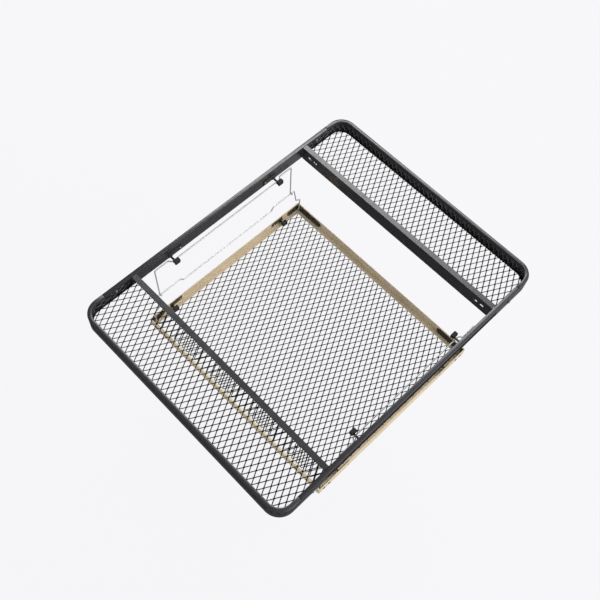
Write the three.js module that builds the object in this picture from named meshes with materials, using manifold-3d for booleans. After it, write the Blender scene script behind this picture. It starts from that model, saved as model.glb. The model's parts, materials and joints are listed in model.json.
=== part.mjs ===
// Cargo carrier basket: a rounded tube frame with two shallow expanded-metal end bays and an
// open middle, and below the middle a drop tray that hangs on folding wire bails.
// Millimetres, +Z up, +X along the length. The origin is the centre of the frame's top plane.

import * as THREE from 'three';
import { mergeVertices } from 'three/addons/utils/BufferGeometryUtils.js';
import Module from 'manifold-3d';

const wasm = await Module();
wasm.setup();

// ---------------------------------------------------------------- driving dimensions

const FRAME_LENGTH = 1270;        // outside, along X
const FRAME_WIDTH = 968;          // outside, along Y
const FRAME_DEPTH = 63;           // top of the rim to the underside of the bays
const RIM = 16;                   // square rim tube
const RIM_ROUND = 3.5;            // edge rounding of the rim tube
const CORNER_RADIUS = 62;         // outside corner of the frame
const RIM_SPLIT_X = 540;          // where the bent end tubes meet the straight side tubes

const CROSSBAR_FACE_X = 405;      // inner face of a crossbar
const CROSSBAR_WIDTH = 20;
const CROSSBAR_LIP = 5;           // width of a crossbar's bottom flange
const CROSSBAR_SLOTS_Y = [400, 428];
const SLOT_LENGTH = 18;
const SLOT_WIDTH = 9;
const SLOT_Z = -31;

const CHANNEL_FACE_Y = 470.3;     // inner face of a side channel
const SHEET = 2.5;                // sheet thickness of the channels and brackets
const MESH = 2;                   // overall thickness of the expanded metal
const BAY_ANGLE_TOP_Z = -25;      // upright leg of the angle round the bottom of each bay
const BAY_ANGLE_FOOT = 13;        // its other leg, which carries the mesh floor
const GAP = 0.3;                  // between pieces that touch

const TRAY_LENGTH = 792;
const TRAY_WIDTH = 914;
const TRAY_TOP_Z = -344;
const TRAY_WALL = 46;
const TRAY_FLANGE = 18;
const ANGLE = 3;                  // thickness of the tray's angle rails

const WIRE = 5;                   // bail wire diameter
const LINK = 157.5;               // vertical distance between the pivots of one bail
const PIVOT_Y = 448;              // all the bail pivots lie in these two planes
const UPPER_PIVOT_Z = -55;
const KNEE_Z = UPPER_PIVOT_Z - LINK;
const TRAY_PIVOT_Z = KNEE_Z - LINK;
const EYE_X = 337;                // eye at the foot of an upper bail leg
const EYE_RADIUS = 5.4;           // wire centre line of that eye
const EYE_TURN = 250;             // degrees of wire in it
const EYE_STEPS = 8;
const WIRE_BEND = 4;              // bend radius of the wire's centre line
const ALMOST_STRAIGHT = 1.48;     // half angle in radians above which a corner isn't bent
const BAR_END_Y = 459;            // end stretches of the upper bar, outside the pivot line
const BAR_JOG_X = 275;            // where the upper bar steps in to the pivot line
const LOWER_JOG_X = 236;          // where the lower bar steps down
const LOWER_JOG = 18;
const LEG_X = 353;                // lower bail leg below the knee
const LEG_FOOT_X = 381.5;         // and beside the tray wall
const LEG_LEAN = 10;              // the foot stands this far in from the pivot line
const WIRE_END_X = 402;

const CLIP_X = 254;               // hook of a frame clip
const CLIP_TAIL_X = 200;          // other end of its base plate
const TRAY_CLIP_X = 291;
const TRAY_CLIP_TAIL_X = 242;
const CLIP_WIDTH = 18;
const CLIP_ARM = 8;               // width of the arm between the base plate and the lip
const CLIP_REACH = 34;            // from the wall to the back of the hook's lip
const TRAY_CLIP_REACH = 22;
const CLIP_HEIGHT = 28;
const LIP_HEIGHT = 17;
const PAD_SIDE = 3;               // how far the rubber cap reaches past the lip: to each side,
const PAD_FRONT = 9;              // away from the wall,
const PAD_BACK = 4.5;             // towards the wall
const PAD_TOP = 5;                // and above it

const BRACKET_HEIGHT = 31;
const BRACKET_LONG_END = 321;     // Y where the long leg ends
const BRACKET_SHORT_END = 330;    // X where the short leg ends
const BRACKET_Z = -367;           // middle of the bracket
const LONG_LEG_BOLTS_Y = [422, 394, 366, 338];
const SHORT_LEG_BOLTS_X = [372, 346];

const PIVOT_HOLE = WIRE / 2 + 0.75;
const BOLT_SIDES = 8;
const BRACKET_BOLT = { shank: 2.8, hole: 3.2, head: 5.5, headHeight: 2.8, proud: 2 };
const FRAME_BOLT = { shank: 3.8, hole: 4.3, head: 7, headHeight: 4, proud: 6 };
const FRAME_NUT = { radius: 7.4, height: 4 };
const CLIP_SCREW = { shank: 1.6, hole: 2, head: 4.5, headHeight: 2.4 };
const SCREW_LENGTH = 9;
const SEAT = 0.2;                 // overlap that joins a head or nut to its neighbour
const FRAME_BOLT_X = 490;
const FRAME_BOLT_Z = -33;
const ANCHOR_SIDE = 28;           // square plate under each frame bolt's head

const frameClipBottom = UPPER_PIVOT_Z - WIRE / 2 - GAP - SHEET;
const screwX = (tailX) => tailX + CLIP_WIDTH / 2;
const screwZ = (bottomZ) => bottomZ + CLIP_HEIGHT * 0.6;

// ---------------------------------------------------------------- materials

const finish = (color, roughness, metalness) =>
  new THREE.MeshStandardMaterial({ color, roughness, metalness });

const blackPaint = finish(0x3c3d40, 0.45, 0.2);
const blackMesh = finish(0x2b2c2e, 0.55, 0.2);
const sandPaint = finish(0xb39c76, 0.5, 0.2);
const blackZinc = finish(0x26241f, 0.45, 0.6);
const brightWire = finish(0xc9ccd0, 0.22, 0.95);
const blackRubber = finish(0x1b1b1c, 0.85, 0);
const zincSteel = finish(0x8f9296, 0.35, 0.9);

// ---------------------------------------------------------------- solids

const toSolid = (geometry) => {
  const bare = geometry.index ? geometry.toNonIndexed() : geometry.clone();
  bare.deleteAttribute('normal');
  bare.deleteAttribute('uv');
  const merged = mergeVertices(bare, 1e-4);
  const vertProperties = new Float32Array(merged.attributes.position.array);
  const triVerts = new Uint32Array(merged.index.array);
  return new wasm.Manifold(new wasm.Mesh({ numProp: 3, vertProperties, triVerts }));
};

const toGeometry = (solid) => {
  const { vertProperties, triVerts } = solid.getMesh();
  const geometry = new THREE.BufferGeometry();
  geometry.setAttribute('position', new THREE.BufferAttribute(vertProperties, 3));
  geometry.setIndex(new THREE.BufferAttribute(triVerts, 1));
  return geometry;
};

const join = (first, ...others) =>
  toGeometry(others.reduce((solid, other) => solid.add(toSolid(other)), toSolid(first)));

const cut = (body, ...tools) =>
  toGeometry(tools.reduce((solid, tool) => solid.subtract(toSolid(tool)), toSolid(body)));

const box = (x0, x1, y0, y1, z0, z1) =>
  new THREE.BoxGeometry(Math.abs(x1 - x0), Math.abs(y1 - y0), Math.abs(z1 - z0))
    .translate((x0 + x1) / 2, (y0 + y1) / 2, (z0 + z1) / 2);

// A flat outline in plan, raised from z0 to z1, its edges rounded by `round`.
const slab = (shape, z0, z1, round = 0, curveSegments = 8) => {
  const depth = z1 - z0 - 2 * round;
  const geometry = new THREE.ExtrudeGeometry(shape, {
    depth,
    curveSegments,
    bevelEnabled: round > 0,
    bevelSize: round,
    bevelThickness: round,
    bevelOffset: -round,
    bevelSegments: 2,
  });
  return geometry.translate(0, 0, z0 + round);
};

// A cylinder along X or Y, used as a drill.
const drill = (axis, x, y, z, radius, length = 30) => {
  const geometry = new THREE.CylinderGeometry(radius, radius, length, BOLT_SIDES);
  if (axis === 'x') geometry.rotateZ(Math.PI / 2);
  return geometry.translate(x, y, z);
};

// Mirrored copy: signs of -1 flip X or Y, and the faces are turned out again.
const mirror = (geometry, sx, sy) => {
  const copy = toGeometry(toSolid(geometry));
  copy.scale(sx, sy, 1);
  if (sx * sy < 0) {
    const index = copy.index.array;
    for (let i = 0; i < index.length; i += 3) {
      [index[i], index[i + 1]] = [index[i + 1], index[i]];
    }
  }
  return copy;
};

// ---------------------------------------------------------------- fasteners

// Bolt or screw whose head sits on the origin, its shank along -Y.
const bolt = (size, length) => {
  const profile = [
    new THREE.Vector2(0, -length),
    new THREE.Vector2(size.shank, -length),
    new THREE.Vector2(size.shank, 0),
    new THREE.Vector2(size.head, 0),
    new THREE.Vector2(size.head * 0.7, size.headHeight),
    new THREE.Vector2(0, size.headHeight),
  ];
  return new THREE.LatheGeometry(profile, BOLT_SIDES);
};

// Head towards -X and head towards -Y, for the walls at +X and +Y.
const boltInEnd = (size, length, x, y, z) =>
  bolt(size, length).rotateZ(Math.PI / 2).translate(x, y, z);
const boltInSide = (size, length, x, y, z) =>
  bolt(size, length).rotateZ(Math.PI).translate(x, y, z);

// ---------------------------------------------------------------- frame

// Half-plan band that follows the end of the frame from one long side round to the other.
// `outer` and `inner` are distances in from the outside of the rim.
const endBand = (startX, outer, inner) => {
  const shape = new THREE.Shape();
  const side = (inset, forward) => {
    const x = FRAME_LENGTH / 2 - inset;
    const y = FRAME_WIDTH / 2 - inset;
    const r = CORNER_RADIUS - inset;
    if (forward) {
      shape.lineTo(x - r, -y);
      shape.absarc(x - r, -y + r, r, -Math.PI / 2, 0, false);
      shape.absarc(x - r, y - r, r, 0, Math.PI / 2, false);
      shape.lineTo(startX, y);
    } else {
      shape.lineTo(startX, y);
      shape.absarc(x - r, y - r, r, Math.PI / 2, 0, true);
      shape.absarc(x - r, -y + r, r, 0, -Math.PI / 2, true);
      shape.lineTo(startX, -y);
    }
  };
  shape.moveTo(startX, -(FRAME_WIDTH / 2 - outer));
  side(outer, true);
  side(inner, false);
  shape.closePath();
  return shape;
};

const rimEnd = slab(endBand(RIM_SPLIT_X, 0, RIM), -RIM, 0, RIM_ROUND);

const rimSide = () => {
  const outline = new THREE.Shape();
  const half = RIM_SPLIT_X - GAP;
  const y = FRAME_WIDTH / 2;
  outline.moveTo(-half, y - RIM);
  outline.lineTo(half, y - RIM);
  outline.lineTo(half, y);
  outline.lineTo(-half, y);
  outline.closePath();
  return slab(outline, -RIM, 0, RIM_ROUND);
};

// Channel web on the inner side and both flanges turned outwards, the lower one `lip` wide.
const channel = (length, width, lip, z0, z1) => {
  const profile = new THREE.Shape();
  profile.moveTo(0, z0);
  profile.lineTo(lip, z0);
  profile.lineTo(lip, z0 + SHEET);
  profile.lineTo(SHEET, z0 + SHEET);
  profile.lineTo(SHEET, z1 - SHEET);
  profile.lineTo(width, z1 - SHEET);
  profile.lineTo(width, z1);
  profile.lineTo(0, z1);
  profile.closePath();
  const geometry = new THREE.ExtrudeGeometry(profile, { depth: length, bevelEnabled: false });
  return geometry.rotateX(Math.PI / 2).translate(0, length / 2, 0);
};

// Tool for one slot: long along Y, running through along X.
const slot = (y) => {
  const r = SLOT_WIDTH / 2;
  const half = SLOT_LENGTH / 2 - r;
  const outline = new THREE.Shape();
  outline.moveTo(-half, -r);
  outline.lineTo(half, -r);
  outline.absarc(half, 0, r, -Math.PI / 2, Math.PI / 2, false);
  outline.lineTo(-half, r);
  outline.absarc(-half, 0, r, Math.PI / 2, 1.5 * Math.PI, false);
  const tool = new THREE.ExtrudeGeometry(outline, {
    depth: 20,
    curveSegments: 12,
    bevelEnabled: false,
  });
  return tool.rotateX(Math.PI / 2).rotateZ(Math.PI / 2).translate(-10, y, SLOT_Z);
};

const crossbarEndY = FRAME_WIDTH / 2 - RIM - GAP;

const crossbar = () => {
  const length = 2 * crossbarEndY;
  const bar = channel(length, CROSSBAR_WIDTH, CROSSBAR_LIP, -FRAME_DEPTH, 0);
  const slots = CROSSBAR_SLOTS_Y.flatMap((y) => [slot(y), slot(-y)]);
  return cut(bar, ...slots).translate(CROSSBAR_FACE_X, 0, 0);
};

const channelEnd = CROSSBAR_FACE_X + CROSSBAR_WIDTH;

// The side channels are closed at both ends.
const sideChannel = () => {
  const outerY = FRAME_WIDTH / 2 - GAP;
  const width = outerY - CHANNEL_FACE_Y;
  const top = -RIM - GAP;
  const bar = channel(2 * channelEnd, width, width, -FRAME_DEPTH, top)
    .rotateZ(Math.PI / 2)
    .translate(0, CHANNEL_FACE_Y, 0);
  const closed = join(
    bar,
    box(channelEnd - SHEET, channelEnd, CHANNEL_FACE_Y, outerY, -FRAME_DEPTH, top),
    box(-channelEnd, SHEET - channelEnd, CHANNEL_FACE_Y, outerY, -FRAME_DEPTH, top));
  const screwHoles = [-1, 1].map((side) =>
    drill('y', side * screwX(CLIP_TAIL_X), CHANNEL_FACE_Y, screwZ(frameClipBottom),
      CLIP_SCREW.hole, 12));
  return cut(closed, ...screwHoles);
};

const bayStartX = channelEnd + GAP;
const frameBoltHoles = () => [-1, 1].map((side) =>
  drill('y', FRAME_BOLT_X, side * FRAME_WIDTH / 2, FRAME_BOLT_Z, FRAME_BOLT.hole));

const bayAngle = () => {
  const wall = slab(endBand(bayStartX, 0, SHEET), -FRAME_DEPTH, BAY_ANGLE_TOP_Z);
  const foot = slab(endBand(bayStartX, 0, BAY_ANGLE_FOOT), -FRAME_DEPTH, -FRAME_DEPTH + SHEET);
  return cut(join(wall, foot), ...frameBoltHoles());
};

const skirtInset = SHEET + GAP;
const meshZ = -FRAME_DEPTH + SHEET + GAP;

const meshSkirt = () => {
  const wall = slab(endBand(bayStartX, skirtInset, skirtInset + MESH), meshZ, -RIM - GAP);
  return cut(wall, ...frameBoltHoles());
};

// The floor reaches in over the crossbar's bottom flange between the side channels.
const meshFloor = () => {
  const inset = skirtInset + MESH + GAP;
  const webX = CROSSBAR_FACE_X + SHEET + GAP;
  const x = FRAME_LENGTH / 2 - inset;
  const y = FRAME_WIDTH / 2 - inset;
  const r = CORNER_RADIUS - inset;
  const outline = new THREE.Shape();
  outline.moveTo(webX, -crossbarEndY);
  outline.lineTo(bayStartX, -crossbarEndY);
  outline.lineTo(bayStartX, -y);
  outline.lineTo(x - r, -y);
  outline.absarc(x - r, -y + r, r, -Math.PI / 2, 0, false);
  outline.absarc(x - r, y - r, r, 0, Math.PI / 2, false);
  outline.lineTo(bayStartX, y);
  outline.lineTo(bayStartX, crossbarEndY);
  outline.lineTo(webX, crossbarEndY);
  outline.closePath();
  return slab(outline, meshZ, meshZ + MESH);
};

// ---------------------------------------------------------------- clips

// J-shaped hook with a base plate, for the wall at +Y. `wallY` is the wall's face, the hook
// is centred on hookX and the base plate runs on to tailX. `bottomZ` is the underside.
const clip = (wallY, hookX, tailX, bottomZ, reach) => {
  const face = wallY - GAP;
  const back = face - reach;
  const x0 = hookX - CLIP_WIDTH / 2;
  const x1 = hookX + CLIP_WIDTH / 2;
  const top = bottomZ + CLIP_HEIGHT;
  const plate = join(
    box(tailX, x1, face - SHEET, face, bottomZ + 6, top),
    box(x0, x1, face - SHEET, face, bottomZ, top),
    box(hookX - CLIP_ARM / 2, hookX + CLIP_ARM / 2, back, face, bottomZ, bottomZ + SHEET),
    box(x0, x1, back, back + SHEET, bottomZ, bottomZ + LIP_HEIGHT));
  return cut(plate, drill('y', screwX(tailX), face, screwZ(bottomZ), CLIP_SCREW.hole, 12));
};

// Rubber cap over the hook's lip.
const clipPad = (wallY, hookX, bottomZ, reach) => {
  const lipFace = wallY - GAP - reach;
  const x0 = hookX - CLIP_WIDTH / 2 - PAD_SIDE;
  const x1 = hookX + CLIP_WIDTH / 2 + PAD_SIDE;
  const z0 = bottomZ + SHEET + 1;
  const z1 = bottomZ + LIP_HEIGHT + PAD_TOP;
  const cap = box(x0, x1, lipFace - PAD_FRONT, lipFace + SHEET + PAD_BACK, z0, z1);
  const pocket = box(x0 - 1, x1 + 1, lipFace - GAP, lipFace + SHEET + GAP,
    z0 - 1, bottomZ + LIP_HEIGHT + GAP);
  return cut(cap, pocket);
};

const clipScrew = (wallY, tailX, bottomZ) => boltInSide(CLIP_SCREW, SCREW_LENGTH,
  screwX(tailX), wallY - 2 * GAP - SHEET, screwZ(bottomZ));

// ---------------------------------------------------------------- wire bails

// A route through fixed points that is sampled exactly at those points.
class Route extends THREE.Curve {
  constructor(points) {
    super();
    this.points = points;
  }

  getPoint(t) {
    const last = this.points.length - 1;
    const i = Math.min(Math.floor(t * last), last - 1);
    return this.points[i].clone().lerp(this.points[i + 1], t * last - i);
  }

  getPointAt(u) {
    return this.getPoint(u);
  }

  getTangentAt(u) {
    const last = this.points.length - 1;
    const i = Math.round(u * last);
    const before = this.points[Math.max(i - 1, 0)];
    const here = this.points[i];
    const after = this.points[Math.min(i + 1, last)];
    const arriving = here.clone().sub(before).normalize();
    const leaving = after.clone().sub(here).normalize();
    return arriving.add(leaving).normalize();
  }
}

// Corner points replaced by short arcs of `radius`.
const rounded = (corners, radius, steps = 3) => {
  const points = [corners[0]];
  for (let i = 1; i < corners.length - 1; i += 1) {
    const here = corners[i];
    const toBefore = corners[i - 1].clone().sub(here).normalize();
    const toAfter = corners[i + 1].clone().sub(here).normalize();
    const half = toBefore.angleTo(toAfter) / 2;
    if (half > ALMOST_STRAIGHT) {
      points.push(here);
      continue;
    }
    const reach = radius / Math.tan(half);
    const start = here.clone().addScaledVector(toBefore, reach);
    const end = here.clone().addScaledVector(toAfter, reach);
    const centre = here.clone().addScaledVector(
      toBefore.clone().add(toAfter).normalize(), radius / Math.sin(half));
    for (let k = 0; k <= steps; k += 1) {
      const chord = start.clone().lerp(end, k / steps).sub(centre).normalize();
      points.push(centre.clone().addScaledVector(chord, radius));
    }
  }
  points.push(corners[corners.length - 1]);
  return points;
};

const wire = (points) => {
  const section = new THREE.Shape();
  section.absarc(0, 0, WIRE / 2, 0, 2 * Math.PI, false);
  return new THREE.ExtrudeGeometry(section, {
    curveSegments: 4,
    steps: points.length - 1,
    extrudePath: new Route(points),
  });
};

const mirrorX = (points) =>
  points.map((p) => new THREE.Vector3(-p.x, p.y, p.z)).reverse();

// Upper bail of the +Y side: hung by its middle, an open eye at the foot of each leg.
const upperBail = () => {
  const eye = [];
  for (let k = 0; k <= EYE_STEPS; k += 1) {
    const angle = THREE.MathUtils.degToRad((-EYE_TURN * k) / EYE_STEPS);
    eye.push(new THREE.Vector3(
      EYE_X,
      PIVOT_Y + EYE_RADIUS * Math.cos(angle),
      KNEE_Z + EYE_RADIUS * Math.sin(angle)));
  }
  const leg = rounded([
    new THREE.Vector3(0, PIVOT_Y, UPPER_PIVOT_Z),
    new THREE.Vector3(BAR_JOG_X - 10, PIVOT_Y, UPPER_PIVOT_Z),
    new THREE.Vector3(BAR_JOG_X, BAR_END_Y, UPPER_PIVOT_Z),
    new THREE.Vector3(EYE_X, BAR_END_Y, UPPER_PIVOT_Z),
    new THREE.Vector3(EYE_X, PIVOT_Y + EYE_RADIUS, KNEE_Z + 14),
    eye[0],
  ], WIRE_BEND);
  const half = leg.slice(1).concat(eye.slice(1));
  return wire(mirrorX(half).concat(half));
};

// Lower bail of the +Y side: a bar through the two eyes, and legs down to the tray walls.
const lowerBail = () => {
  const footY = PIVOT_Y - LEG_LEAN;
  const half = rounded([
    new THREE.Vector3(0, PIVOT_Y, KNEE_Z - LOWER_JOG),
    new THREE.Vector3(LOWER_JOG_X - 8, PIVOT_Y, KNEE_Z - LOWER_JOG),
    new THREE.Vector3(LOWER_JOG_X + 4, PIVOT_Y, KNEE_Z),
    new THREE.Vector3(LEG_X, PIVOT_Y, KNEE_Z),
    new THREE.Vector3(LEG_X + 6, footY, KNEE_Z - 62),
    new THREE.Vector3(LEG_FOOT_X, footY, KNEE_Z - 76),
    new THREE.Vector3(LEG_FOOT_X, footY, TRAY_PIVOT_Z + 14),
    new THREE.Vector3(LEG_FOOT_X, PIVOT_Y, TRAY_PIVOT_Z),
    new THREE.Vector3(WIRE_END_X, PIVOT_Y, TRAY_PIVOT_Z),
  ], WIRE_BEND).slice(1);
  return wire(mirrorX(half).concat(half));
};

// ---------------------------------------------------------------- tray

const trayX = TRAY_LENGTH / 2;
const trayY = TRAY_WIDTH / 2;
const trayBottom = TRAY_TOP_Z - TRAY_WALL;
const trayClipBottom = TRAY_TOP_Z - 3 - CLIP_HEIGHT;
const longBolts = (visit) => LONG_LEG_BOLTS_Y.map((y) => visit(y, BRACKET_Z));
const shortBolts = (visit) => SHORT_LEG_BOLTS_X.map((x) => visit(x, BRACKET_Z));

const trayEnd = () => {
  const rail = join(
    box(trayX - ANGLE, trayX, -trayY, trayY, trayBottom, TRAY_TOP_Z),
    box(trayX - TRAY_FLANGE, trayX, -trayY, trayY, trayBottom, trayBottom + ANGLE));
  const holes = [-1, 1].flatMap((side) => [
    drill('x', trayX, side * PIVOT_Y, TRAY_PIVOT_Z, PIVOT_HOLE),
    ...longBolts((y, z) => drill('x', trayX, side * y, z, BRACKET_BOLT.hole)),
  ]);
  return cut(rail, ...holes);
};

const traySide = () => {
  const wallHalf = trayX - ANGLE - GAP;
  const flangeHalf = trayX - TRAY_FLANGE - GAP;
  const rail = join(
    box(-wallHalf, wallHalf, trayY - ANGLE, trayY, trayBottom + ANGLE + GAP, TRAY_TOP_Z),
    box(-flangeHalf, flangeHalf, trayY - ANGLE, trayY, trayBottom, TRAY_TOP_Z),
    box(-flangeHalf, flangeHalf, trayY - TRAY_FLANGE, trayY, trayBottom, trayBottom + ANGLE));
  const holes = [-1, 1].flatMap((side) => [
    ...shortBolts((x, z) => drill('y', side * x, trayY, z, BRACKET_BOLT.hole)),
    drill('y', side * screwX(TRAY_CLIP_TAIL_X), trayY, screwZ(trayClipBottom), CLIP_SCREW.hole),
  ]);
  return cut(rail, ...holes);
};

const trayMesh = () => {
  const x = trayX - TRAY_FLANGE - GAP;
  const y = trayY - TRAY_FLANGE - GAP;
  const z = trayBottom + ANGLE / 2;
  return box(-x, x, -y, y, z - MESH / 2, z + MESH / 2);
};

const studLength = SHEET + ANGLE + BRACKET_BOLT.proud;

// L-shaped plate in the corner at +X, +Y, with a rounded end on each leg and fixed studs.
const cornerBracket = () => {
  const r = BRACKET_HEIGHT / 2;
  const leg = (length) => {
    const outline = new THREE.Shape();
    outline.moveTo(0, -r);
    outline.lineTo(length - r, -r);
    outline.absarc(length - r, 0, r, -Math.PI / 2, Math.PI / 2, false);
    outline.lineTo(0, r);
    outline.closePath();
    return new THREE.ExtrudeGeometry(outline, {
      depth: SHEET,
      curveSegments: 5,
      bevelEnabled: false,
    });
  };
  const faceX = trayX - ANGLE - GAP;
  const faceY = trayY - ANGLE - GAP;
  const longLeg = leg(faceY - BRACKET_LONG_END)
    .rotateX(Math.PI / 2)
    .rotateZ(-Math.PI / 2)
    .translate(faceX, faceY, BRACKET_Z);
  const shortLeg = leg(faceX - BRACKET_SHORT_END)
    .rotateX(Math.PI / 2)
    .rotateZ(Math.PI)
    .translate(faceX, faceY - SHEET, BRACKET_Z);
  const studs = [
    ...longBolts((y, z) => boltInEnd(BRACKET_BOLT, studLength, faceX - SHEET + SEAT, y, z)),
    ...shortBolts((x, z) => boltInSide(BRACKET_BOLT, studLength, x, faceY - SHEET + SEAT, z)),
  ];
  const pivotHole = drill('x', faceX, PIVOT_Y, TRAY_PIVOT_Z, PIVOT_HOLE);
  return cut(join(longLeg, shortLeg, ...studs), pivotHole);
};

// ---------------------------------------------------------------- bolts through the bay walls

const anchorFaceY = FRAME_WIDTH / 2 - skirtInset - MESH - GAP;

const anchorPlate = () => {
  const half = ANCHOR_SIDE / 2;
  const plate = box(FRAME_BOLT_X - half, FRAME_BOLT_X + half, anchorFaceY - SHEET, anchorFaceY,
    FRAME_BOLT_Z - half, FRAME_BOLT_Z + half);
  return cut(plate, drill('y', FRAME_BOLT_X, anchorFaceY, FRAME_BOLT_Z, FRAME_BOLT.hole));
};

// Bolt from the inside of the bay with its hexagon nut on the outside.
const frameBolt = () => {
  const seatY = anchorFaceY - SHEET - GAP;
  const length = FRAME_WIDTH / 2 - seatY + FRAME_BOLT.proud;
  const nut = new THREE.CylinderGeometry(FRAME_NUT.radius, FRAME_NUT.radius, FRAME_NUT.height, 6)
    .translate(FRAME_BOLT_X, FRAME_WIDTH / 2 + GAP + FRAME_NUT.height / 2, FRAME_BOLT_Z);
  return join(boltInSide(FRAME_BOLT, length, FRAME_BOLT_X, seatY, FRAME_BOLT_Z), nut);
};

// ---------------------------------------------------------------- assembly

const carrier = new THREE.Group();

const add = (name, geometry, material) => {
  const mesh = new THREE.Mesh(geometry, material);
  mesh.name = name;
  carrier.add(mesh);
};

const ENDS = [['near', -1], ['far', 1]];
const SIDES = [['left', 1], ['right', -1]];

ENDS.forEach(([end, sx]) => {
  add(`rim_end_${end}`, mirror(rimEnd, sx, 1), blackPaint);
  add(`crossbar_${end}`, mirror(crossbar(), sx, 1), blackPaint);
  add(`bay_angle_${end}`, mirror(bayAngle(), sx, 1), blackPaint);
  add(`mesh_skirt_${end}`, mirror(meshSkirt(), sx, 1), blackMesh);
  add(`mesh_floor_${end}`, mirror(meshFloor(), sx, 1), blackMesh);
  add(`tray_end_${end}`, mirror(trayEnd(), sx, 1), sandPaint);
});

SIDES.forEach(([side, sy]) => {
  add(`rim_side_${side}`, mirror(rimSide(), 1, sy), blackPaint);
  add(`side_channel_${side}`, mirror(sideChannel(), 1, sy), blackPaint);
  add(`upper_bail_${side}`, mirror(upperBail(), 1, sy), brightWire);
  add(`lower_bail_${side}`, mirror(lowerBail(), 1, sy), brightWire);
  add(`tray_side_${side}`, mirror(traySide(), 1, sy), sandPaint);
});

add('tray_mesh', trayMesh(), blackMesh);

ENDS.forEach(([end, sx]) => SIDES.forEach(([side, sy]) => {
  const place = `${end}_${side}`;
  const frameClip = clip(CHANNEL_FACE_Y, CLIP_X, CLIP_TAIL_X, frameClipBottom, CLIP_REACH);
  const frameClipCap = clipPad(CHANNEL_FACE_Y, CLIP_X, frameClipBottom, CLIP_REACH);
  const trayWall = trayY - ANGLE;
  const trayClip = clip(
    trayWall, TRAY_CLIP_X, TRAY_CLIP_TAIL_X, trayClipBottom, TRAY_CLIP_REACH);
  const trayClipCap = clipPad(trayWall, TRAY_CLIP_X, trayClipBottom, TRAY_CLIP_REACH);
  add(`frame_clip_${place}`, mirror(frameClip, sx, sy), blackZinc);
  add(`frame_clip_pad_${place}`, mirror(frameClipCap, sx, sy), blackRubber);
  add(`tray_clip_${place}`, mirror(trayClip, sx, sy), blackZinc);
  add(`tray_clip_pad_${place}`, mirror(trayClipCap, sx, sy), blackRubber);
  add(`corner_bracket_${place}`, mirror(cornerBracket(), sx, sy), blackZinc);

  const frameScrew = clipScrew(CHANNEL_FACE_Y, CLIP_TAIL_X, frameClipBottom);
  const trayScrew = clipScrew(trayWall, TRAY_CLIP_TAIL_X, trayClipBottom);
  add(`frame_clip_screw_${place}`, mirror(frameScrew, sx, sy), zincSteel);
  add(`tray_clip_screw_${place}`, mirror(trayScrew, sx, sy), zincSteel);
  add(`anchor_plate_${place}`, mirror(anchorPlate(), sx, sy), blackPaint);
  add(`frame_bolt_${place}`, mirror(frameBolt(), sx, sy), zincSteel);
}));

export default carrier;
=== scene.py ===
# Cargo carrier basket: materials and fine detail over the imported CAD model.
# Metres, +Z up, the origin at the centre of the frame's top plane.

import json
import math

import bmesh
import bpy
from mathutils import Matrix, Vector


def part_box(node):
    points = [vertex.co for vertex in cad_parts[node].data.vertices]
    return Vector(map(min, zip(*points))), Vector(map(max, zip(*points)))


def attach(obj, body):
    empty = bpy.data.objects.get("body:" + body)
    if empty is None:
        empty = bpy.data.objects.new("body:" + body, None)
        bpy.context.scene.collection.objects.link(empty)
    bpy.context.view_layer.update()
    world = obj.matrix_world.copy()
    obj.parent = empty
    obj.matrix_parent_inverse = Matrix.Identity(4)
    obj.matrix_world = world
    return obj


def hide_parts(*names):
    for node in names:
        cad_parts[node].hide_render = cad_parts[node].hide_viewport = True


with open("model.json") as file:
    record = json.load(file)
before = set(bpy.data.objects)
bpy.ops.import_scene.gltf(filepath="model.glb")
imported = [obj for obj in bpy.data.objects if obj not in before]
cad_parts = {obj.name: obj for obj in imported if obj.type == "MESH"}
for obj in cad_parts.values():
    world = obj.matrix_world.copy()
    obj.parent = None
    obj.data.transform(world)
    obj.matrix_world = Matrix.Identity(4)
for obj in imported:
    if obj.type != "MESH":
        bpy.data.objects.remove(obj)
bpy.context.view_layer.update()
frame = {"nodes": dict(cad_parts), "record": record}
nodes = frame["nodes"]

ENDS = {"near": -1, "far": 1}
SIDES = {"left": 1, "right": -1}


# ---------------------------------------------------------------- camera

CAMERA_TARGET = Vector((-0.0614, 0.0103, 0.0))
CAMERA_DISTANCE = 2.8791
CAMERA_AZIMUTH = -50.86
CAMERA_ELEVATION = 62.11
CAMERA_ROLL = 7.17
CAMERA_LENS = 50.30
SENSOR_WIDTH = 36


def direction(azimuth, elevation):
    """Unit vector towards a place round the object. Azimuth 0 is -Y and 90 is +X."""
    around = math.radians(azimuth)
    above = math.radians(elevation)
    level = math.cos(above)
    return Vector((math.sin(around) * level, -math.cos(around) * level, math.sin(above)))


def link(obj):
    bpy.context.scene.collection.objects.link(obj)
    return obj


def make_camera():
    back = direction(CAMERA_AZIMUTH, CAMERA_ELEVATION)
    aim = (-back).to_track_quat("-Z", "Y").to_matrix()
    roll = Matrix.Rotation(math.radians(CAMERA_ROLL), 3, "Z")
    data = bpy.data.cameras.new("camera")
    data.lens = CAMERA_LENS
    data.sensor_width = SENSOR_WIDTH
    camera = link(bpy.data.objects.new("camera", data))
    place = Matrix.Translation(CAMERA_TARGET + back * CAMERA_DISTANCE)
    camera.matrix_world = place @ (aim @ roll).to_4x4()
    bpy.context.scene.camera = camera


make_camera()


# ---------------------------------------------------------------- lights and floor

FLOOR_Z = -0.95
FLOOR_SIZE = 60
FLOOR_BASE = (0.05, 0.05, 0.05)
FLOOR_GLOW = 0.9625                # strength of the floor's own light
BACKDROP = (0.905, 0.905, 0.922)

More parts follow.
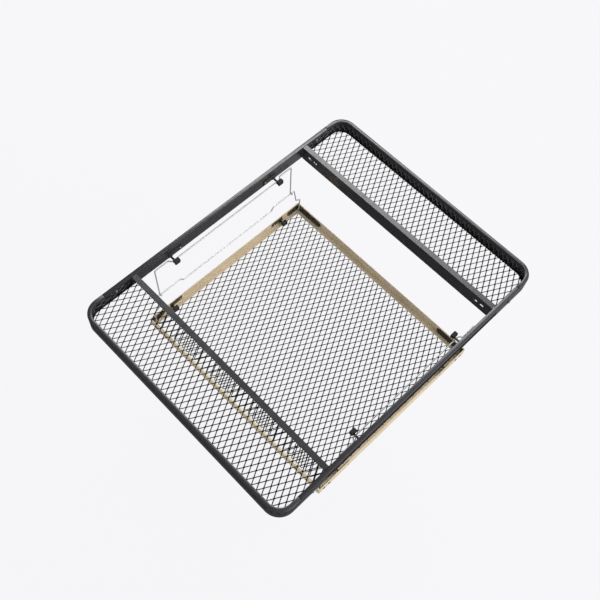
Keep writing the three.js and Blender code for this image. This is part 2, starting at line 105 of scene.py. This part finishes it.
WORLD_AXIS = (0.55, -0.75, 0.2)    # towards the bright side of the world
WORLD_DIM = (0.10, 0.10, 0.105)
WORLD_BRIGHT = (0.80, 0.80, 0.82)
WORLD_BRIGHT_FROM = 0.8            # distance along the axis where it's brightest
WORLD_WALLS = (0.70, 0.70, 0.715)
WALLS_BOTTOM = (-0.16, -0.04)      # heights between which the pale walls fade in
WALLS_TOP = (0.65, 0.4)            # and fade out again

MIX_FACTOR = 0                     # sockets of a Mix node that mixes colours
MIX_FIRST = 6
MIX_SECOND = 7
MIX_RESULT = 2


def area_light(name, azimuth, elevation, distance, size, energy):
    data = bpy.data.lights.new(name, "AREA")
    data.shape = "RECTANGLE"
    data.size, data.size_y = size
    data.energy = energy
    lamp = link(bpy.data.objects.new(name, data))
    back = direction(azimuth, elevation)
    lamp.location = back * distance
    lamp.rotation_mode = "QUATERNION"
    lamp.rotation_quaternion = (-back).to_track_quat("-Z", "Y")


def world_sides(tree, where):
    """Colour that goes from dim to bright along WORLD_AXIS."""
    along = tree.nodes.new("ShaderNodeVectorMath")
    along.operation = "DOT_PRODUCT"
    along.inputs[1].default_value = WORLD_AXIS
    tree.links.new(where, along.inputs[0])
    ramp = tree.nodes.new("ShaderNodeValToRGB")
    dim, bright = ramp.color_ramp.elements
    dim.position = 0.0
    dim.color = (*WORLD_DIM, 1)
    bright.position = WORLD_BRIGHT_FROM
    bright.color = (*WORLD_BRIGHT, 1)
    tree.links.new(along.outputs["Value"], ramp.inputs["Fac"])
    return ramp.outputs["Color"]


def world_wall_band(tree, where):
    """1 within the band of walls round the horizon, 0 well above and below it."""
    height = tree.nodes.new("ShaderNodeSeparateXYZ")
    tree.links.new(where, height.inputs[0])
    both = tree.nodes.new("ShaderNodeMath")
    both.operation = "MULTIPLY"
    for socket, (start, end) in enumerate((WALLS_BOTTOM, WALLS_TOP)):
        fade = tree.nodes.new("ShaderNodeMapRange")
        fade.inputs["From Min"].default_value = start
        fade.inputs["From Max"].default_value = end
        tree.links.new(height.outputs["Z"], fade.inputs["Value"])
        tree.links.new(fade.outputs["Result"], both.inputs[socket])
    return both.outputs[0]


def make_world():
    """Pale studio walls round the horizon. Above and below them it's bright towards +X and -Y
    and dim towards -X and +Y."""
    world = bpy.data.worlds.new("studio")
    world.use_nodes = True
    tree = world.node_tree
    tree.nodes.clear()
    where = tree.nodes.new("ShaderNodeTexCoord").outputs["Generated"]
    walls = tree.nodes.new("ShaderNodeMix")
    walls.data_type = "RGBA"
    walls.inputs[MIX_SECOND].default_value = (*WORLD_WALLS, 1)
    tree.links.new(world_wall_band(tree, where), walls.inputs[MIX_FACTOR])
    tree.links.new(world_sides(tree, where), walls.inputs[MIX_FIRST])
    background = tree.nodes.new("ShaderNodeBackground")
    output = tree.nodes.new("ShaderNodeOutputWorld")
    tree.links.new(walls.outputs[MIX_RESULT], background.inputs["Color"])
    tree.links.new(background.outputs[0], output.inputs["Surface"])
    bpy.context.scene.world = world


def make_floor():
    """A pale floor that glows a little and isn't seen in reflections."""
    bpy.ops.mesh.primitive_plane_add(size=FLOOR_SIZE, location=(0, 0, FLOOR_Z))
    floor = bpy.context.object
    floor.name = "floor"
    floor.visible_glossy = False
    material = bpy.data.materials.new("pale_floor")
    material.use_nodes = True
    shader = material.node_tree.nodes["Principled BSDF"]
    shader.inputs["Base Color"].default_value = (*FLOOR_BASE, 1)
    shader.inputs["Roughness"].default_value = 1.0
    shader.inputs["Specular IOR Level"].default_value = 0.0
    shader.inputs["Emission Color"].default_value = (*BACKDROP, 1)
    shader.inputs["Emission Strength"].default_value = FLOOR_GLOW
    floor.data.materials.append(material)


make_world()
make_floor()
area_light("key", azimuth=10, elevation=38, distance=5.0, size=(4.0, 2.5), energy=150)
area_light("back_panel", azimuth=128, elevation=44, distance=5.0, size=(4.5, 2.2), energy=185)
scene_view = bpy.context.scene.view_settings
scene_view.view_transform = "Standard"
scene_view.look = "None"


# ---------------------------------------------------------------- materials

NOISE_LOW = 0.3                    # between these lies most of what a noise node gives
NOISE_HIGH = 0.7


class Nodes:
    """A material's node tree around its Principled shader."""

    def __init__(self, name):
        self.material = bpy.data.materials.new(name)
        self.material.use_nodes = True
        self.tree = self.material.node_tree
        self.shader = self.tree.nodes["Principled BSDF"]
        self.where = self.tree.nodes.new("ShaderNodeTexCoord").outputs["Object"]

    def link(self, start, end):
        self.tree.links.new(start, end)

    def noise(self, scale, detail=2.0, roughness=0.5, stretch=None):
        node = self.tree.nodes.new("ShaderNodeTexNoise")
        node.inputs["Scale"].default_value = scale
        node.inputs["Detail"].default_value = detail
        node.inputs["Roughness"].default_value = roughness
        where = self.where
        if stretch:
            mapping = self.tree.nodes.new("ShaderNodeMapping")
            mapping.inputs["Scale"].default_value = stretch
            self.link(where, mapping.inputs["Vector"])
            where = mapping.outputs["Vector"]
        self.link(where, node.inputs["Vector"])
        return node.outputs["Fac"]

    def ramp(self, factor, stops):
        node = self.tree.nodes.new("ShaderNodeValToRGB")
        elements = node.color_ramp.elements
        while len(elements) < len(stops):
            elements.new(0.5)
        for element, (position, color) in zip(elements, stops):
            element.position = position
            element.color = (*color, 1)
        self.link(factor, node.inputs["Fac"])
        return node.outputs["Color"]

    def mix(self, factor, first, second):
        node = self.tree.nodes.new("ShaderNodeMix")
        node.data_type = "RGBA"
        self.link(factor, node.inputs[MIX_FACTOR])
        for value, socket in ((first, MIX_FIRST), (second, MIX_SECOND)):
            if isinstance(value, bpy.types.NodeSocket):
                self.link(value, node.inputs[socket])
            else:
                node.inputs[socket].default_value = (*value, 1)
        return node.outputs[MIX_RESULT]

    def spread(self, factor, low, high):
        """A noise's usual range stretched to run from `low` to `high`."""
        node = self.tree.nodes.new("ShaderNodeMapRange")
        node.inputs["From Min"].default_value = NOISE_LOW
        node.inputs["From Max"].default_value = NOISE_HIGH
        node.inputs["To Min"].default_value = low
        node.inputs["To Max"].default_value = high
        self.link(factor, node.inputs["Value"])
        return node.outputs["Result"]

    def facing(self, axis, low, high):
        """From 0 where the surface's normal along an axis is `low` to 1 where it is `high`."""
        geometry = self.tree.nodes.new("ShaderNodeNewGeometry")
        split = self.tree.nodes.new("ShaderNodeSeparateXYZ")
        self.link(geometry.outputs["Normal"], split.inputs[0])
        node = self.tree.nodes.new("ShaderNodeMapRange")
        node.inputs["From Min"].default_value = low
        node.inputs["From Max"].default_value = high
        self.link(split.outputs[axis], node.inputs["Value"])
        return node.outputs["Result"]

    def bump(self, heights):
        """Chained bumps: each is a height output with its distance in metres."""
        normal = None
        for height, distance in heights:
            node = self.tree.nodes.new("ShaderNodeBump")
            node.inputs["Distance"].default_value = distance
            node.inputs["Strength"].default_value = 1.0
            self.link(height, node.inputs["Height"])
            if normal is not None:
                self.link(normal, node.inputs["Normal"])
            normal = node.outputs["Normal"]
        self.link(normal, self.shader.inputs["Normal"])

    def set(self, name, value):
        if isinstance(value, bpy.types.NodeSocket):
            self.link(value, self.shader.inputs[name])
        else:
            self.shader.inputs[name].default_value = value


def powder_coat(name, dark, light, rough, specular=0.3, painted_top_light=0.0):
    """Painted steel with a fine pebbled skin and slow changes of tone. The last argument sets how
    much lighter the faces that look up are painted, a painted highlight for the light from above."""
    look = Nodes(name)
    tone = look.ramp(look.noise(9, 3), [(NOISE_LOW, dark), (NOISE_HIGH, light)])
    speck = look.spread(look.noise(900, 2), 0.0, 0.10)
    lighter = [min(1, 1.6 * c + 0.01) for c in light]
    color = look.mix(speck, tone, lighter)
    if painted_top_light:
        # The faces that look up are painted lighter: painted light from above.
        color = look.mix(look.facing("Z", 0.2, 1.0), color, [c + painted_top_light for c in light])
    look.set("Base Color", color)
    look.set("Roughness", look.spread(look.noise(40, 3), rough - 0.06, rough + 0.06))
    look.set("Specular IOR Level", specular)
    look.bump([(look.noise(420, 2), 0.00010), (look.noise(1500, 1), 0.00004)])
    return look.material


def drawn_wire(name):
    """Wire with fine streaks along X."""
    look = Nodes(name)
    streaks = look.noise(30, 4, 0.6, stretch=(1, 40, 40))
    stops = [(NOISE_LOW, (0.52, 0.53, 0.55)), (NOISE_HIGH, (0.60, 0.61, 0.63))]
    look.set("Base Color", look.ramp(streaks, stops))
    look.set("Metallic", 0.5)
    look.set("Roughness", look.spread(look.noise(60, 3), 0.30, 0.42))
    look.bump([(look.noise(700, 2, stretch=(1, 12, 12)), 0.00004)])
    return look.material


def zinc_steel(name):
    """Plated steel with a fine spangle."""
    look = Nodes(name)
    spangle = look.noise(260, 2, 0.6)
    stops = [(NOISE_LOW, (0.30, 0.31, 0.33)), (NOISE_HIGH, (0.48, 0.49, 0.50))]
    look.set("Base Color", look.ramp(spangle, stops))
    look.set("Metallic", 0.9)
    look.set("Roughness", look.spread(look.noise(90, 3), 0.26, 0.44))
    look.bump([(look.noise(900, 2), 0.00005)])
    return look.material


def black_zinc(name):
    """Dark passivated steel with a faint olive cast in patches."""
    look = Nodes(name)
    tone = look.noise(60, 4, 0.6)
    stops = [(NOISE_LOW, (0.020, 0.019, 0.014)), (0.75, (0.085, 0.080, 0.058))]
    look.set("Base Color", look.ramp(tone, stops))
    look.set("Metallic", 0.45)
    look.set("Roughness", look.spread(look.noise(140, 3), 0.30, 0.50))
    look.bump([(look.noise(800, 2), 0.00008)])
    return look.material


def black_rubber(name):
    """Matte rubber with a fine grain."""
    look = Nodes(name)
    tone = look.noise(120, 3)
    stops = [(NOISE_LOW, (0.010, 0.010, 0.010)), (NOISE_HIGH, (0.022, 0.022, 0.023))]
    look.set("Base Color", look.ramp(tone, stops))
    look.set("Roughness", look.spread(look.noise(200, 2), 0.62, 0.82))
    look.set("Specular IOR Level", 0.35)
    look.bump([(look.noise(1100, 3), 0.00018)])
    return look.material


MATERIALS = {
    "black_paint": powder_coat(
        "black_powder_coat",
        dark=(0.014, 0.014, 0.017),
        light=(0.022, 0.022, 0.026),
        rough=0.29,
        specular=0.65,
        # faces that look up are painted a little lighter, as painted light from above
        painted_top_light=0.006,
    ),
    "black_mesh": powder_coat(
        "black_expanded_metal", dark=(0.008, 0.008, 0.009), light=(0.014, 0.014, 0.016), rough=0.50
    ),
    "sand_paint": powder_coat(
        "sand_gold_paint", dark=(0.62, 0.505, 0.345), light=(0.72, 0.60, 0.425), rough=0.45
    ),
    "black_zinc": black_zinc("black_passivated_steel"),
    "bright_wire": drawn_wire("bright_drawn_wire"),
    "black_rubber": black_rubber("matte_black_rubber"),
    "zinc_steel": zinc_steel("zinc_plated_steel"),
}

# The mesh that lines the bay walls is painted paler than that of the floors: a painted highlight along
# the walls under the rim.
PAINTED_LIT_WALL_MESH = powder_coat(
    "black_wall_mesh_painted_lit", dark=(0.07, 0.07, 0.073), light=(0.15, 0.15, 0.155), rough=0.42
)

slot_of = {row["node"]: row["material_slot"] for row in frame["record"]["subparts"]}


# ---------------------------------------------------------------- carried-over CAD nodes

EDGE_ANGLE = math.radians(34)      # edges sharper than this are rounded
WELD_DISTANCE = 1e-6
PAD_EDGE = (0.0030, 4)             # width of the rounding, and segments across it
RIM_EDGE = (0.0004, 2)
SCREW_EDGE = (0.0003, 2)
PLATE_EDGE = (0.0006, 2)


def refine(node, width, segments):
    """Rounded edges and smooth curved faces on a CAD node. Its own vertices stay as they are."""
    mesh = node.data
    mesh.shade_smooth()
    if "custom_normal" in mesh.attributes:
        mesh.attributes.remove(mesh.attributes["custom_normal"])
    weld = node.modifiers.new("weld", "WELD")
    weld.merge_threshold = WELD_DISTANCE
    bevel = node.modifiers.new("edges", "BEVEL")
    bevel.width = width
    bevel.segments = segments
    bevel.limit_method = "ANGLE"
    bevel.angle_limit = EDGE_ANGLE
    bevel.use_clamp_overlap = True
    bevel.harden_normals = True


def edge_of(name):
    if "pad" in name:
        return PAD_EDGE
    if name.startswith("rim"):
        return RIM_EDGE
    if "clip_screw" in name:
        return SCREW_EDGE
    return PLATE_EDGE


for name, node in nodes.items():
    node.data.materials.clear()
    node.data.materials.append(MATERIALS[slot_of[name]])
    if "mesh" not in name and "bail" not in name:
        refine(node, *edge_of(name))


# ---------------------------------------------------------------- new pieces


def piece(name, mesh, slot, body, replaced=(), material=None):
    """A mesh of its own, in the slot's usual material unless another is given."""
    obj = link(bpy.data.objects.new(name, mesh))
    mesh.materials.append(material or MATERIALS[slot])
    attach(obj, body)
    if replaced:
        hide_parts(*replaced)


def join_rings(bm, rings):
    """A skin of faces from each ring of vertices to the next."""
    for first, second in zip(rings, rings[1:]):
        for k in range(len(first)):
            after = (k + 1) % len(first)
            bm.faces.new([first[k], first[after], second[after], second[k]])


def close_ring(bm, ring, tip):
    """Faces from a ring of vertices to one point beyond it."""
    point = bm.verts.new(tip)
    for k in range(len(ring)):
        bm.faces.new([ring[k], ring[(k + 1) % len(ring)], point])


def mesh_from(name, bm, smooth=False):
    bmesh.ops.recalc_face_normals(bm, faces=bm.faces)
    mesh = bpy.data.meshes.new(name)
    bm.to_mesh(mesh)
    bm.free()
    if smooth:
        mesh.shade_smooth()
    return mesh


# ---------------------------------------------------------------- expanded metal

LONG_PITCH = 0.042
SHORT_PITCH = 0.023
STRAND = 0.0037                    # width of one strand, measured along its lean
THICKNESS = 0.0019                 # of the sheet
BOND = 0.0044                      # length of the knuckle where two strands meet
LEAN = math.radians(-38)           # of the strands, about the long way of the diamonds
STRAND_STEPS = 3
TRAY_MESH_RAISE = 0.0006           # from the top of the plain plate to the middle of the mesh
SKIRT_HALF = 0.001                 # half the thickness of the plate that stands for a bay's wall
SKIRT_LAP = 0.002                  # how far the side strips of a bay run past the start of its bend


def steps_over(span, pitch):
    """Numbers of the steps of a pitch that cover a span, and one more on each side of it."""
    return range(math.floor(span[0] / pitch) - 1, math.ceil(span[1] / pitch) + 2)


def expanded_sheet(name, inside, p_range, q_range, place):
    """A sheet of expanded metal: p runs the long way of the diamonds, q the short way and r
    through the sheet. `inside` tells whether the sheet covers a point, and `place` puts a
    point (p, q, r) where it belongs."""
    half = BOND / 2
    rise = math.tan(LEAN)
    width = STRAND * math.cos(LEAN)
    through = Vector((0, -math.sin(LEAN), math.cos(LEAN))) * THICKNESS
    bm = bmesh.new()
    found = {}
    low_faces = []

    def vertex(p, q, r):
        key = (round(p, 5), round(q, 5), round(r, 5))
        if key not in found:
            base = Vector((p, q, r)) - through / 2
            top = base + through
            found[key] = (bm.verts.new(place(*base)), bm.verts.new(place(*top)))
        return found[key]

    def panel(corners):
        p = sum(c[0] for c in corners) / len(corners)
        q = sum(c[1] for c in corners) / len(corners)
        if inside(p, q):
            low_faces.append([vertex(*c) for c in corners])

    def strand(start, end):
        """From the edge `start` of one knuckle to the edge `end` of the next."""
        previous = start
        for step in range(1, STRAND_STEPS + 1):
            t = step / STRAND_STEPS
            here = [a.lerp(b, t) for a, b in zip(start, end)]
            panel([previous[0], here[0], here[1], previous[1]])
            previous = here

    for row in steps_over(q_range, SHORT_PITCH / 2):
        for column in steps_over(p_range, LONG_PITCH):
            centre = Vector(((column + (row % 2) / 2) * LONG_PITCH, row * SHORT_PITCH / 2, 0))

            def corner(side, level, origin=centre):
                return origin + Vector((side * half, level * width, level * width * rise))

            up = centre + Vector((LONG_PITCH / 2, SHORT_PITCH / 2, 0))
            down = centre + Vector((LONG_PITCH / 2, -SHORT_PITCH / 2, 0))
            panel([corner(-1, -1), corner(1, -1), corner(1, 0), corner(-1, 0)])
            panel([corner(-1, 0), corner(1, 0), corner(1, 1), corner(-1, 1)])
            strand([corner(1, 0), corner(1, 1)], [corner(-1, -1, up), corner(-1, 0, up)])
            strand([corner(1, -1), corner(1, 0)], [corner(-1, 0, down), corner(-1, 1, down)])

    sides = {}
    for corners in low_faces:
        bm.faces.new([c[0] for c in corners])
        bm.faces.new([c[1] for c in reversed(corners)])
        for a, b in zip(corners, corners[1:] + corners[:1]):
            edge = frozenset((a, b))
            sides[edge] = None if edge in sides else (a, b)
    for edge in sides.values():
        if edge:
            a, b = edge
            bm.faces.new([a[0], b[0], b[1], a[1]])
    loose = [v for v in bm.verts if not v.link_faces]
    bmesh.ops.delete(bm, geom=loose, context="VERTS")
    return mesh_from(name, bm)


def rounded_rectangle(x_range, y_range, radius):
    """Test for points of a rectangle, with rounded corners at +X. Its Y range is centred."""

    def inside(x, y):
        if not (x_range[0] <= x <= x_range[1] and y_range[0] <= y <= y_range[1]):
            return False
        dx = x - (x_range[1] - radius)
        dy = abs(y) - (y_range[1] - radius)
        return dx <= 0 or dy <= 0 or math.hypot(dx, dy) <= radius

    return inside


CORNER_RADIUS = 0.062              # outside corner of the frame
FRAME_END_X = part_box("rim_end_far")[1].x


def x_reach(low, high):
    """Least and greatest distance of a box from the middle plane, whichever end it's at."""
    return min(abs(low.x), abs(high.x)), max(abs(low.x), abs(high.x))


def corner_radius(x1):
    """Radius of the bay's corner for a wall or floor that ends at x1."""
    return CORNER_RADIUS - (FRAME_END_X - x1)


def bay_grating(end, sx):
    low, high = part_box(f"mesh_floor_{end}")
    z = (low.z + high.z) / 2
    x0, x1 = x_reach(low, high)
    y1 = high.y
    covers = rounded_rectangle((x0, x1), (-y1, y1), corner_radius(x1))
    sheet = expanded_sheet(
        f"bay_grating_{end}",
        lambda p, q: covers(sx * p, q),
        (-x1, x1),
        (-y1, y1),
        lambda p, q, r: Vector((p, q, z + r)),
    )
    piece(f"bay_grating_{end}", sheet, "black_mesh", "frame", [f"mesh_floor_{end}"])


def tray_grating():
    low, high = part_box("tray_mesh")
    z = high.z + TRAY_MESH_RAISE
    covers = rounded_rectangle((low.x, high.x), (low.y, high.y), 0.0)
    sheet = expanded_sheet(
        "tray_grating",
        covers,
        (low.x, high.x),
        (low.y, high.y),
        lambda p, q, r: Vector((p, q, z + r)),
    )
    piece("tray_grating", sheet, "black_mesh", "tray", ["tray_mesh"])


def skirt_grating(end, sx):
    """Strips of sheet round the wall of a bay: its two straight sides and its curved end."""
    low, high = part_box(f"mesh_skirt_{end}")
    x0, outer_x = x_reach(low, high)
    x1 = outer_x - SKIRT_HALF
    y1 = high.y - SKIRT_HALF
    radius = corner_radius(x1)
    straight = y1 - radius
    reach = straight + math.pi / 2 * radius
    middle = (low.z + high.z) / 2
    heights = (low.z - middle, high.z - middle)

    def round_the_end(u):
        """Point and outward direction at distance u along the end wall from its middle."""
        turn = min(max((abs(u) - straight) / radius, 0), math.pi / 2)
        y = min(abs(u), straight) + radius * math.sin(turn)
        x = x1 - radius + radius * math.cos(turn)
        flip = 1 if u >= 0 else -1
        point = Vector((sx * x, flip * y, 0))
        return point, Vector((sx * math.cos(turn), flip * math.sin(turn), 0))

    def on_the_end(p, q, r):
        point, outward = round_the_end(q)
        return point + outward * r + Vector((0, 0, middle + p))

    def within(height):
        return heights[0] <= height <= heights[1]

    strips = [
        expanded_sheet(
            "strip",
            lambda p, q: abs(q) <= reach and within(p),
            heights,
            (-reach, reach),
            on_the_end,
        )
    ]
    for flip in (1, -1):
        strips.append(
            expanded_sheet(
                "strip",
                lambda p, q: x0 <= p <= x1 - radius + SKIRT_LAP and within(q),
                (x0, x1 - radius),
                heights,
                lambda p, q, r, flip=flip: Vector((sx * p, flip * (y1 + r), middle + q)),
            )
        )
    bm = bmesh.new()
    for strip in strips:
        bm.from_mesh(strip)
        bpy.data.meshes.remove(strip)
    sheet = mesh_from(f"skirt_grating_{end}", bm)
    # The wall strips take the paler mesh, painted lighter as a highlight.
    piece(f"skirt_grating_{end}", sheet, "black_mesh", "frame", [f"mesh_skirt_{end}"], PAINTED_LIT_WALL_MESH)


tray_grating()
for end, sx in ENDS.items():
    bay_grating(end, sx)
    skirt_grating(end, sx)


# ---------------------------------------------------------------- wire bails

WIRE = 0.005                       # diameter
WIRE_BEND = 0.0045
WIRE_SIDES = 14
BEND_STEPS = 6
ALMOST_STRAIGHT = 1.52             # half angle in radians above which a corner isn't bent
END_DOME = 0.12                    # height of a wire's domed end, in diameters

LINK = 0.1575                      # vertical distance between the pivots of one bail
PIVOT_Y = 0.448
UPPER_PIVOT_Z = -0.055
KNEE_Z = UPPER_PIVOT_Z - LINK
TRAY_PIVOT_Z = KNEE_Z - LINK
EYE_X = 0.337                      # eye at the foot of an upper bail leg
EYE_RADIUS = 0.0054
EYE_TURN = 250                     # degrees of wire in it
EYE_STEPS = 24
BAR_END_Y = 0.459                  # end stretches of the upper bar, outside the pivot line
BAR_JOG_X = 0.275                  # where the upper bar steps in to the pivot line
LOWER_JOG_X = 0.236                # where the lower bar steps down
LOWER_JOG = 0.018
LEG_X = 0.353                      # lower bail leg below the knee
LEG_FOOT_X = 0.3815                # and beside the tray wall
LEG_LEAN = 0.010                   # the foot stands this far in from the pivot line
WIRE_END_X = 0.402


def rounded(corners, radius):
    """The corner points of a path replaced by short arcs."""
    points = [corners[0]]
    for before, here, after in zip(corners, corners[1:], corners[2:]):
        to_before = (before - here).normalized()
        to_after = (after - here).normalized()
        half = to_before.angle(to_after) / 2
        if half > ALMOST_STRAIGHT:
            points.append(here)
            continue
        reach = min(radius / math.tan(half), 0.49 * (before - here).length, 0.49 * (after - here).length)
        bend = reach * math.tan(half)
        centre = here + (to_before + to_after).normalized() * bend / math.sin(half)
        start = here + to_before * reach
        end = here + to_after * reach
        for k in range(BEND_STEPS + 1):
            chord = (start.lerp(end, k / BEND_STEPS) - centre).normalized()
            points.append(centre + chord * bend)
    points.append(corners[-1])
    return points


def bail_wire(name, points):
    """Round wire along the points, its ends slightly domed."""
    bm = bmesh.new()
    tangents = []
    for i, point in enumerate(points):
        ahead = points[min(i + 1, len(points) - 1)] - point
        behind = point - points[max(i - 1, 0)]
        tangents.append((ahead.normalized() + behind.normalized()).normalized())
    side = tangents[0].orthogonal().normalized()
    rings = []
    for i, (point, tangent) in enumerate(zip(points, tangents)):
        side = (side - tangent * side.dot(tangent)).normalized()
        other = tangent.cross(side)
        ring = []
        for k in range(WIRE_SIDES):
            angle = 2 * math.pi * k / WIRE_SIDES
            spoke = side * math.cos(angle) + other * math.sin(angle)
            ring.append(bm.verts.new(point + spoke * WIRE / 2))
        rings.append(ring)
    join_rings(bm, rings)
    close_ring(bm, rings[0], points[0] - tangents[0] * WIRE * END_DOME)
    close_ring(bm, rings[-1], points[-1] + tangents[-1] * WIRE * END_DOME)
    return mesh_from(name, bm, smooth=True)


def mirrored(half):
    """The whole path of a bail from its +X half, which starts on the middle plane."""
    return [Vector((-p.x, p.y, p.z)) for p in reversed(half)] + half[1:]


def bail(kind, side, sy, half):
    """One bail as a piece, from its +X half on the +Y side."""
    path = [Vector((p.x, sy * p.y, p.z)) for p in mirrored(half)]
    name = f"{kind}_bail_{side}"
    mesh = bail_wire(f"{kind}_bail_wire_{side}", path)
    piece(f"{kind}_bail_wire_{side}", mesh, "bright_wire", name, [name])


def upper_bail(side, sy):
    eye = []
    for k in range(EYE_STEPS + 1):
        angle = math.radians(-EYE_TURN * k / EYE_STEPS)
        y = PIVOT_Y + EYE_RADIUS * math.cos(angle)
        eye.append(Vector((EYE_X, y, KNEE_Z + EYE_RADIUS * math.sin(angle))))
    leg = rounded(
        [
            Vector((0, PIVOT_Y, UPPER_PIVOT_Z)),
            Vector((BAR_JOG_X - 0.010, PIVOT_Y, UPPER_PIVOT_Z)),
            Vector((BAR_JOG_X, BAR_END_Y, UPPER_PIVOT_Z)),
            Vector((EYE_X, BAR_END_Y, UPPER_PIVOT_Z)),
            Vector((EYE_X, PIVOT_Y + EYE_RADIUS, KNEE_Z + 0.014)),
            eye[0],
        ],
        WIRE_BEND,
    )
    bail("upper", side, sy, leg + eye[1:])


def lower_bail(side, sy):
    foot_y = PIVOT_Y - LEG_LEAN
    half = rounded(
        [
            Vector((0, PIVOT_Y, KNEE_Z - LOWER_JOG)),
            Vector((LOWER_JOG_X - 0.008, PIVOT_Y, KNEE_Z - LOWER_JOG)),
            Vector((LOWER_JOG_X + 0.004, PIVOT_Y, KNEE_Z)),
            Vector((LEG_X, PIVOT_Y, KNEE_Z)),
            Vector((LEG_X + 0.006, foot_y, KNEE_Z - 0.062)),
            Vector((LEG_FOOT_X, foot_y, KNEE_Z - 0.076)),
            Vector((LEG_FOOT_X, foot_y, TRAY_PIVOT_Z + 0.014)),
            Vector((LEG_FOOT_X, PIVOT_Y, TRAY_PIVOT_Z)),
            Vector((WIRE_END_X, PIVOT_Y, TRAY_PIVOT_Z)),
        ],
        WIRE_BEND,
    )
    bail("lower", side, sy, half)


for side, sy in SIDES.items():
    upper_bail(side, sy)
    lower_bail(side, sy)


# ---------------------------------------------------------------- bolt heads and welds

HEAD_RADIUS = 0.0056
HEAD_HEIGHT = 0.0026
HEAD_SIDES = 16
HEAD_LEVELS = 5
LONG_LEG_STUDS_Y = (0.422, 0.394, 0.366, 0.338)
SHORT_LEG_STUDS_X = (0.372, 0.346)
BRACKET_Z = -0.367                 # middle of the corner brackets

CROSSBAR_BEAD = 0.0017             # radius of the weld beads at a crossbar's ends
CROSSBAR_BEAD_Z = (-0.013, -0.0045)
BEAD_INSET = 0.0004                # from the crossbar's edges to the middle of a bead
TACK = 0.0022                      # radius of a tack weld on the mesh
TACK_LENGTH = 0.004
TACK_PITCH = 0.092
TACKS_EACH_WAY = 4
TACK_INSET = 0.004                 # from the outer edge of the mesh floor


def dome(bm, place):
    """A low round head: rings of points from its foot to its crown."""
    rings = []
    for level in range(HEAD_LEVELS):
        turn = math.pi / 2 * level / HEAD_LEVELS
        radius = HEAD_RADIUS * math.cos(turn)
        height = HEAD_HEIGHT * math.sin(turn)
        ring = []
        for k in range(HEAD_SIDES):
            angle = 2 * math.pi * k / HEAD_SIDES
            ring.append(bm.verts.new(place(radius * math.cos(angle), radius * math.sin(angle), height)))
        rings.append(ring)
    join_rings(bm, rings)
    close_ring(bm, rings[-1], place(0, 0, HEAD_HEIGHT))
    bm.faces.new(list(reversed(rings[0])))


def bracket_heads(end, sx, side, sy):
    """The heads of a corner bracket's studs, on the outer faces of the tray's walls."""
    face_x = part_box(f"tray_end_{end}")[1 if sx > 0 else 0].x
    face_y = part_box(f"tray_side_{side}")[1 if sy > 0 else 0].y
    bm = bmesh.new()
    for y in LONG_LEG_STUDS_Y:
        dome(bm, lambda a, b, h, y=y: Vector((face_x + sx * h, sy * y + a, BRACKET_Z + b)))
    for x in SHORT_LEG_STUDS_X:
        dome(bm, lambda a, b, h, x=x: Vector((sx * x + a, face_y + sy * h, BRACKET_Z + b)))
    heads = mesh_from(f"bracket_heads_{end}_{side}", bm, smooth=True)
    piece(f"bracket_heads_{end}_{side}", heads, "black_zinc", "tray")


def weld_bead(bm, start, end, radius):
    """Overlapping drops of weld metal from one point to another."""
    count = max(3, round((end - start).length / (radius * 0.9)))
    for k in range(count):
        centre = start.lerp(end, k / (count - 1))
        size = 1 - 0.12 * math.sin(5.1 * k)
        place = Matrix.Translation(centre) @ Matrix.Scale(size, 4)
        bmesh.ops.create_icosphere(bm, subdivisions=2, radius=radius, matrix=place)


def crossbar_welds(end, sx):
    """Upright beads where the ends of a crossbar meet the rim."""
    low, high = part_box(f"crossbar_{end}")
    inner_x, outer_x = x_reach(low, high)
    bottom, top = CROSSBAR_BEAD_Z
    bm = bmesh.new()
    for sy in SIDES.values():
        y = sy * (high.y - BEAD_INSET)
        for x in (inner_x - BEAD_INSET, outer_x + BEAD_INSET):
            weld_bead(bm, Vector((sx * x, y, bottom)), Vector((sx * x, y, top)), CROSSBAR_BEAD)
    beads = mesh_from("crossbar_welds", bm, smooth=True)
    piece(f"crossbar_welds_{end}", beads, "black_paint", "frame")


def mesh_welds(end, sx):
    """Tack welds that hold the mesh floor of a bay on the foot of its angle."""
    low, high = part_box(f"mesh_floor_{end}")
    x = sx * (x_reach(low, high)[1] - TACK_INSET)
    bm = bmesh.new()
    for k in range(-TACKS_EACH_WAY, TACKS_EACH_WAY + 1):
        y = TACK_PITCH * k
        weld_bead(bm, Vector((x, y, low.z)), Vector((x, y + TACK_LENGTH, low.z)), TACK)
    tacks = mesh_from("mesh_welds", bm, smooth=True)
    piece(f"mesh_welds_{end}", tacks, "black_paint", "frame")


for end, sx in ENDS.items():
    crossbar_welds(end, sx)
    mesh_welds(end, sx)
    for side, sy in SIDES.items():
        bracket_heads(end, sx, side, sy)
